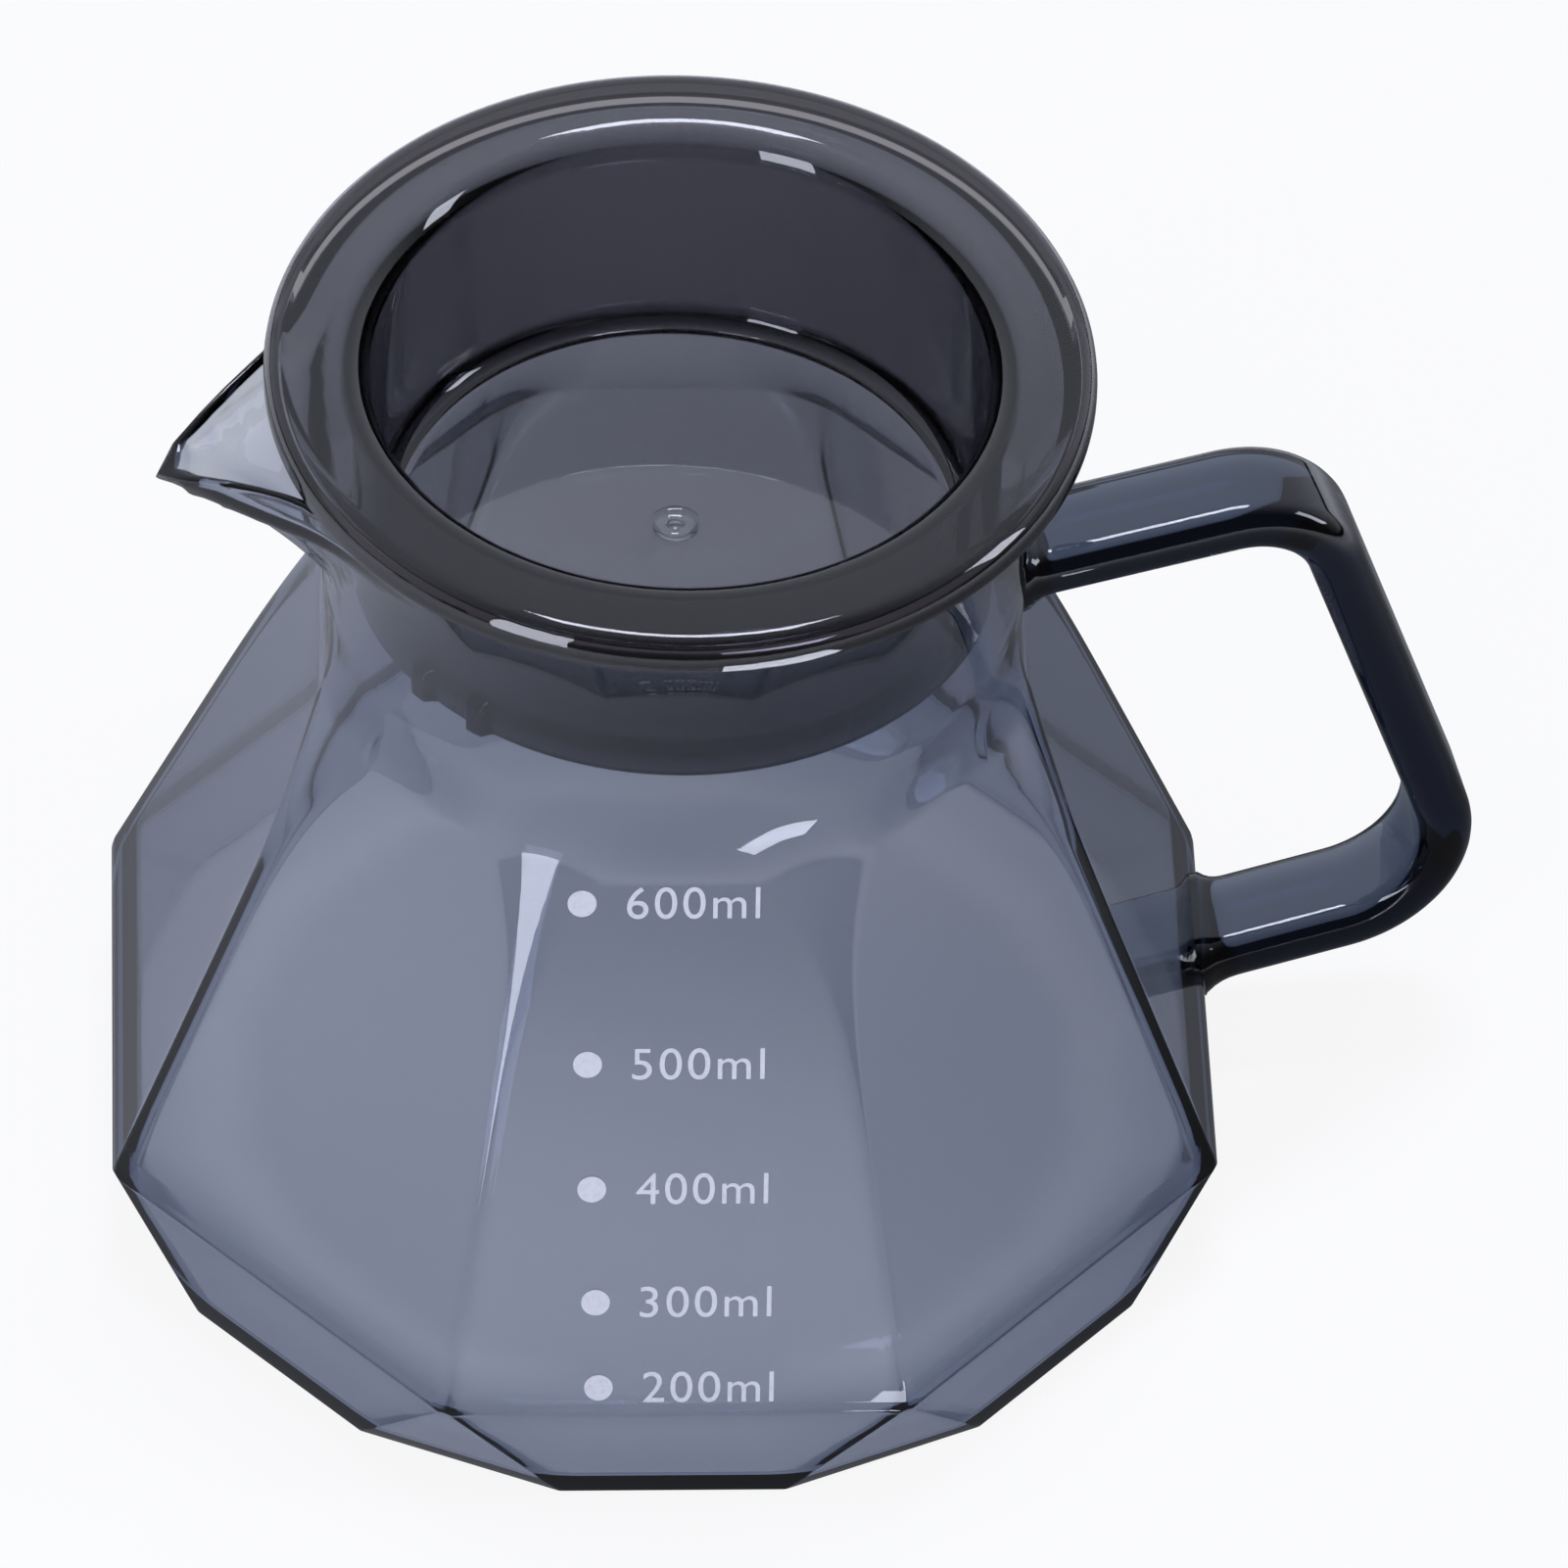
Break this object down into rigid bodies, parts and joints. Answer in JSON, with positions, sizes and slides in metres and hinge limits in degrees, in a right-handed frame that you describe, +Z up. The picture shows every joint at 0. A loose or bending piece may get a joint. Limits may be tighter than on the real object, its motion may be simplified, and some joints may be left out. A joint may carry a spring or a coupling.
{
  "type": "coffee server carafe",
  "caption": "Faceted smoke glass coffee server with a round neck, pouring spout, fused bar handle, printed volume marks and a cup shaped lift-off lid.",
  "frame": {"origin": "centre of the standing base, on the surface that the carafe rests on", "axes": "+Z up along the vessel's axis, +X toward the handle, spout toward -X"},
  "size_m": [0.1557, 0.1286, 0.115],
  "materials": {
    "smoke_glass": "fire polished smoke blue borosilicate glass",
    "handle_glass": "fire polished solid glass bar",
    "lid_plastic": "clear smoke tinted moulded plastic",
    "enamel_print": "white enamel print"
  },
  "bodies": {
    "jug": {"vessel": "smoke_glass", "handle": "handle_glass", "volume_marks": "enamel_print"},
    "lid": {"lid": "lid_plastic"}
  },
  "joints": [
    {"name": "lid_lift", "type": "slide", "parent": "jug", "child": "lid", "axis": [0, 0, 1], "range_m": [0, 0.04]}
  ]
}
